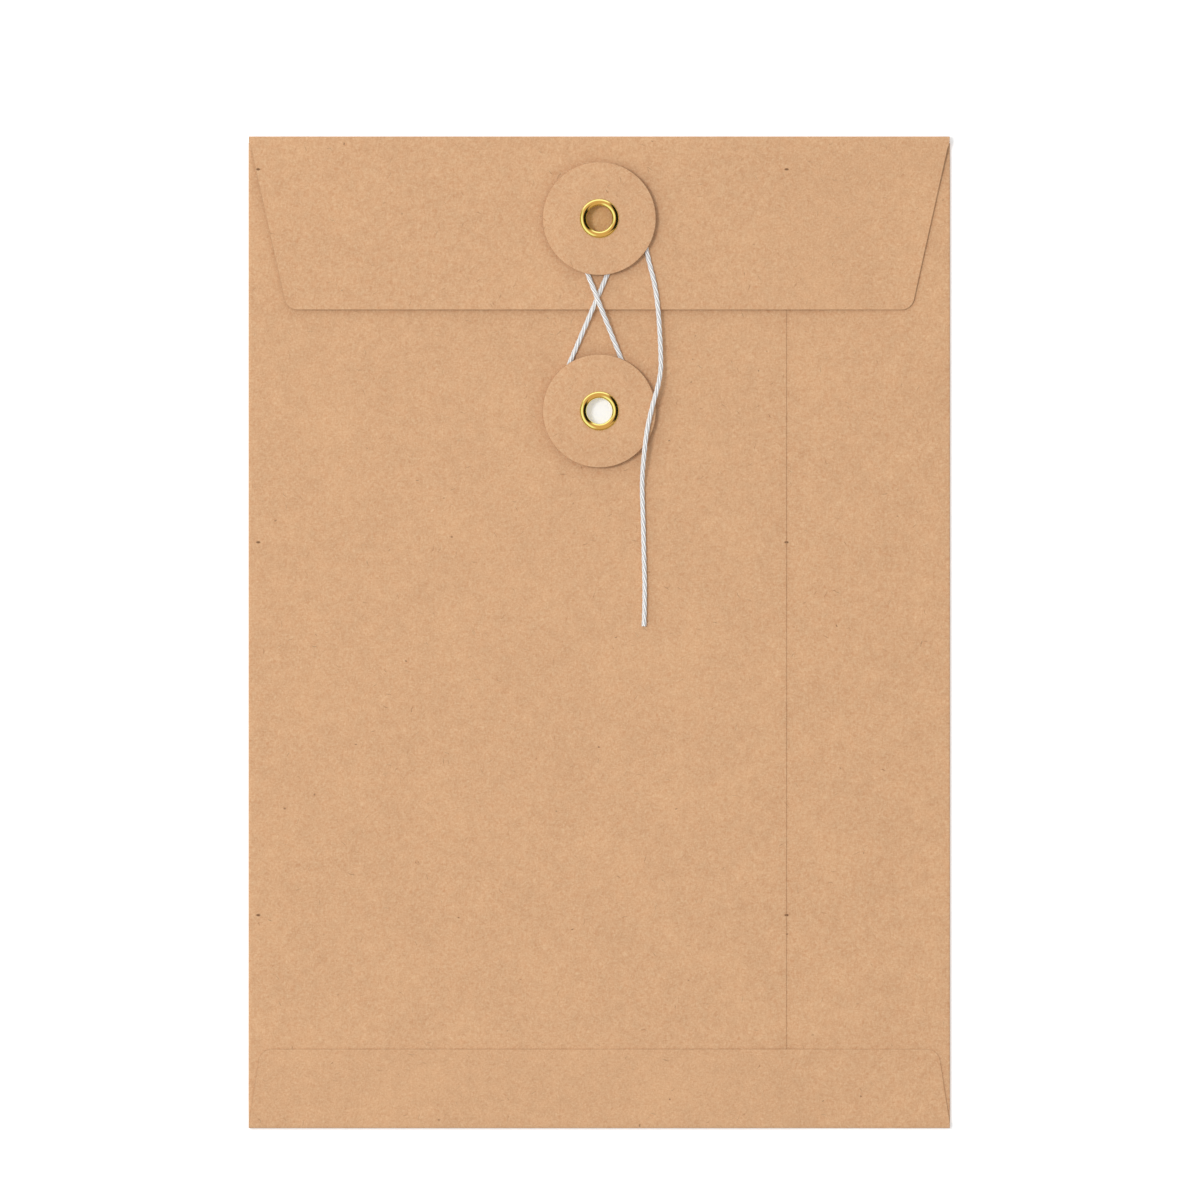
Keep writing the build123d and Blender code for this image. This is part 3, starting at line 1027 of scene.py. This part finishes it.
def makeStringTree(settings):
    numbers = ("Step", "Lay", "Ply Radius", "Ply Offset", "Fuzz Length", "Fuzz Density")
    inputs = {"Geometry": "Geometry", **{name: "Float" for name in numbers}, "Material": "Material"}
    tree, given, result = newTree("twistedString", "GeometryNodeTree", inputs, {"Geometry": "Geometry"})

    # the middle line, which turns once in every lay
    line = addNode(tree, "GeometryNodeMeshToCurve", {"Mesh": given["Geometry"]}, "Curve")
    inputs = {"Curve": line, "Length": given["Step"]}
    even = addNode(tree, "GeometryNodeResampleCurve", inputs, "Curve", mode="LENGTH")
    upright = addNode(tree, "GeometryNodeSetCurveNormal", {"Curve": even}, "Curve", mode="MINIMUM_TWIST")
    reached = addNode(tree, "GeometryNodeSplineParameter", out="Length")
    tilt = timesNode(tree, mathNode(tree, "DIVIDE", reached, given["Lay"]), -2 * math.pi)
    twist = addNode(tree, "GeometryNodeSetCurveTilt", {"Curve": upright, "Tilt": tilt}, "Curve")

    # plies laid round the middle
    inputs = {"Resolution": settings["plySides"], "Radius": given["Ply Radius"]}
    circle = addNode(tree, "GeometryNodeCurvePrimitiveCircle", inputs, "Curve")
    around = storeNode(tree, circle, "around", addNode(tree, "GeometryNodeSplineParameter", out="Factor"))
    plies = addNode(tree, "GeometryNodeJoinGeometry")
    for i in range(settings["plies"]):
        side = turnVector(360 * i / settings["plies"])
        shift = pairNode(tree, *[timesNode(tree, given["Ply Offset"], part) for part in side])
        turn = (0, 0, 2 * math.pi * i / settings["plies"])
        inputs = {"Geometry": around, "Translation": shift, "Rotation": turn}
        feed(tree, plies.inputs["Geometry"], addNode(tree, "GeometryNodeTransform", inputs, "Geometry"))

    # thicker at its knot and at its worn end
    measured = storeNode(tree, twist, "along", mathNode(tree, "DIVIDE", reached, mm))
    fromEnd = mathNode(tree, "SUBTRACT", addNode(tree, "GeometryNodeSplineLength", out="Length"), reached)
    (knotLength, knotSwell), (endLength, endFlare) = settings["knot"], settings["wornEnd"]
    swell = rampNode(tree, reached, 0.0, knotLength * mm, knotSwell, 0.0)
    flare = rampNode(tree, fromEnd, 0.0, endLength * mm, endFlare, 0.0)
    width = mathNode(tree, "ADD", mathNode(tree, "ADD", swell, flare), 1.0)
    wide = addNode(tree, "GeometryNodeSetCurveRadius", {"Curve": measured, "Radius": width}, "Curve")
    rope = tubeNode(tree, wide, plies.outputs["Geometry"])

    # where each point is on its yarn, for the fibres of the material
    place = pairNode(tree, storedNode(tree, "along"), storedNode(tree, "around"))
    yarn = storeNode(tree, rope, "yarnPlace", place, "FLOAT_VECTOR")

    # loose fibres that stand off the plies
    seeds = settings["seeds"]
    normal = addNode(tree, "GeometryNodeInputNormal", out="Normal")
    upwards = addNode(tree, "ShaderNodeSeparateXYZ", {0: normal}, "Z")
    inputs = {
        "Mesh": yarn, "Density": given["Fuzz Density"], "Seed": seeds["scatter"],
        "Selection": mathNode(tree, "GREATER_THAN", upwards, settings["fuzzAbove"]),
    }
    scatter = addNode(tree, "GeometryNodeDistributePointsOnFaces", inputs, distribute_method="RANDOM")
    hair = addNode(tree, "GeometryNodeCurveQuadraticBezier", settings["hair"], "Curve")
    hairRing = addNode(tree, "GeometryNodeCurvePrimitiveCircle", settings["hairRing"], "Curve")
    lean = settings["fuzzLean"]
    inputs = {"Min": (-lean, -lean, -math.pi), "Max": (lean, lean, math.pi), "Seed": seeds["spin"]}
    spin = addNode(tree, "FunctionNodeRandomValue", inputs, "Value", data_type="FLOAT_VECTOR")
    inputs = {"Rotation": scatter.outputs["Rotation"], "Rotate By": spin}
    turned = addNode(tree, "FunctionNodeRotateRotation", inputs, "Rotation", rotation_space="LOCAL")
    shortest, longest = settings["fuzzRange"]
    inputs = {2: shortest, 3: longest, "Seed": seeds["length"]}
    length = addNode(tree, "FunctionNodeRandomValue", inputs, 1, data_type="FLOAT")
    fuzz = addNode(tree, "GeometryNodeInstanceOnPoints", {
        "Points": scatter.outputs["Points"],
        "Instance": tubeNode(tree, hair, hairRing),
        "Rotation": turned,
        "Scale": timesNode(tree, length, given["Fuzz Length"]),
    }, "Instances")

    joined = addNode(tree, "GeometryNodeJoinGeometry")
    for part in (fuzz, yarn):
        feed(tree, joined.inputs["Geometry"], part)
    real = addNode(tree, "GeometryNodeRealizeInstances", {"Geometry": joined.outputs["Geometry"]}, "Geometry")
    inputs = {"Geometry": real, "Material": given["Material"]}
    feed(tree, result["Geometry"], addNode(tree, "GeometryNodeSetMaterial", inputs, "Geometry"))
    return tree


def setInput(modifier, name, value):
    for item in modifier.node_group.interface.items_tree:
        if item.item_type == "SOCKET" and item.in_out == "INPUT" and item.name == name:
            modifier[item.identifier] = value


def makeString(settings):
    guide = routeSpline(stringRoute(windSet))
    line = plainMesh(guide, "stringLine")
    path = [v.co.copy() for v in line.vertices]
    piece = newPiece("stringGuide", line)
    twist = piece.modifiers.new("twist", "NODES")
    twist.node_group = makeStringTree(settings)
    lengths = {"Step": "step", "Lay": "lay", "Ply Radius": "plyRadius", "Ply Offset": "plyOffset",
               "Fuzz Length": "fuzzLength"}
    for name, key in lengths.items():
        setInput(twist, name, settings[key] * mm)
    setInput(twist, "Fuzz Density", settings["fuzzDensity"])
    setInput(twist, "Material", cotton)
    mesh = plainMesh(piece, "cottonString")
    smoothMesh(mesh, settings["smooth"])
    return newPiece("cottonString", mesh), path


cottonString, stringPath = makeString(stringSet)
stringLength = sum((b - a).length for a, b in zip(stringPath, stringPath[1:]))
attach(cottonString, "flap")
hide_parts("string_knot", "string_winding", "string_tail")
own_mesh(cottonString)
tuple(stringPath[0])
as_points(stringPath)
print("string wound:", round(stringLength / mm, 1), "mm,", len(cottonString.data.polygons), "faces")


# studio: pale floor, white surround, soft lamp from the upper left
studioSet = {
    "sky": {"strength": 0.723, "edges": (-0.8, 0.8), "far": 0.7, "near": 1.3},  # brighter on the lamp's side
    "lamp": {"power": 7.28, "size": 0.3, "distance": 1.5, "tilt": 23.0, "turn": 158.0},
    "floor": {"size": 8.0, "height": -0.02 * mm, "tone": 0.9, "roughness": 0.95, "lift": 0.3},
    "tent": {
        "radius": 1.2,
        "segments": (48, 24),
        "cloth": (0.66, 0.39, 0.3),
        "panels": [  # tone, side it hangs on in degrees, where it fades in across and upwards
            {"tone": (1.0, 1.0, 1.0), "turn": 200, "across": (0.45, 0.8), "upwards": (1.0, 0.985)},
            {"tone": (0.3, 0.17, 0.1), "turn": 255, "across": (-0.6, 0.0), "upwards": (0.8, 0.5)},
            {"tone": (1.2, 1.2, 1.4), "turn": 104, "across": (0.64, 0.85), "upwards": (0.87, 0.6)},
            {"tone": (0.012, 0.01, 0.008), "turn": 13, "across": (0.62, 0.82), "upwards": (1.0, 0.993)},
        ],
    },
}


def seenDirectly(tree):
    # one where the camera, a mirror or clear glass looks at it, nought for light on its way to the paper
    path = addNode(tree, "ShaderNodeLightPath").outputs
    seen = mathNode(tree, "MAXIMUM", path["Is Camera Ray"], path["Is Glossy Ray"])
    return mathNode(tree, "MAXIMUM", seen, path["Is Transmission Ray"])


def addFloor(settings):
    half = settings["size"] / 2
    corners = [(x, y, settings["height"]) for x, y in ((-half, -half), (half, -half), (half, half), (-half, half))]
    material, tree, shader = newMaterial("paleFloor")
    wire(tree, shader, {
        "Base Color": shaded((1, 1, 1), settings["tone"]),
        "Roughness": settings["roughness"],
        "Specular IOR Level": 0.0,
        "Emission Color": (1, 1, 1, 1),
        "Emission Strength": timesNode(tree, seenDirectly(tree), settings["lift"]),
    })
    floor = newPiece("floor", newMesh("floor", corners, [(0, 1, 2, 3)], [material]))


def addSurround(settings, lampTurn):
    world = bpy.data.worlds.new("studio")
    scene.world = world
    world.use_nodes = True
    tree = world.node_tree
    direction = addNode(tree, "ShaderNodeTexCoord", out="Generated")
    facing = vectorNode(tree, "DOT_PRODUCT", direction, (*turnVector(lampTurn), 0))
    weakest, strongest = (settings["strength"] * settings[side] for side in ("far", "near"))
    light = tree.nodes["Background"]
    wire(tree, light, {
        "Color": (1, 1, 1, 1),
        "Strength": rampNode(tree, facing, *settings["edges"], weakest, strongest),
    })
    plain = addNode(tree, "ShaderNodeBackground", {"Strength": 1.0}, 0)
    inputs = {0: seenDirectly(tree), 1: light.outputs[0], 2: plain}
    feed(tree, tree.nodes["World Output"].inputs["Surface"], addNode(tree, "ShaderNodeMixShader", inputs, 0))


def addLamp(settings):
    data = bpy.data.lights.new("softLamp", "AREA")
    data.energy = settings["power"]
    data.size = settings["size"]
    lamp = bpy.data.objects.new("softLamp", data)
    out = turnVector(settings["turn"]) * math.sin(math.radians(settings["tilt"]))
    direction = Vector((out.x, out.y, math.cos(math.radians(settings["tilt"]))))
    lamp.location = direction * settings["distance"]
    lamp.visible_glossy = False
    lamp.rotation_euler = direction.to_track_quat("Z", "Y").to_euler()
    scene.collection.objects.link(lamp)


def addTent(settings):
    # a light tent round the bench, which only the brass mirrors
    shell = bmesh.new()
    columns, rows = settings["segments"]
    bmesh.ops.create_uvsphere(shell, u_segments=columns, v_segments=rows, radius=settings["radius"])
    mesh = bpy.data.meshes.new("lightTent")
    shell.to_mesh(mesh)
    shell.free()
    material, tree, shader = newMaterial("tentCloth")
    material.cycles.emission_sampling = "NONE"  # mirrored only, so that it adds no noise to the paper
    way = vectorNode(tree, "NORMALIZE", addNode(tree, "ShaderNodeTexCoord", out="Object"))
    upwards = addNode(tree, "ShaderNodeSeparateXYZ", {0: way}, "Z")
    level = vectorNode(tree, "NORMALIZE", vectorNode(tree, "MULTIPLY", way, (1, 1, 0)))
    tone = shaded(settings["cloth"])
    for panel in settings["panels"]:
        facing = vectorNode(tree, "DOT_PRODUCT", level, (*turnVector(panel["turn"]), 0))
        share = timesNode(tree, rampNode(tree, facing, *panel["across"], 0.0, 1.0),
                          rampNode(tree, upwards, *panel["upwards"], 0.0, 1.0))
        tone = mixColor(tree, share, tone, shaded(panel["tone"]))
    wire(tree, shader, {
        "Base Color": (0, 0, 0, 1), "Specular IOR Level": 0.0, "Emission Color": tone, "Emission Strength": 1.0,
    })

    # no tent for light that has already lit the paper
    bounces = addNode(tree, "ShaderNodeLightPath", out="Diffuse Depth")
    clear = addNode(tree, "ShaderNodeBsdfTransparent", out=0)
    inputs = {0: mathNode(tree, "GREATER_THAN", bounces, 0.5), 1: shader.outputs[0], 2: clear}
    feed(tree, tree.nodes["Material Output"].inputs["Surface"], addNode(tree, "ShaderNodeMixShader", inputs, 0))
    mesh.materials.append(material)
    tent = newPiece("lightTent", mesh)
    tent.visible_camera = False
    tent.visible_diffuse = False
    tent.visible_shadow = False
    tent.visible_transmission = False


addFloor(studioSet["floor"])
addSurround(studioSet["sky"], studioSet["lamp"]["turn"])
addLamp(studioSet["lamp"])
addTent(studioSet["tent"])
print("studio set")
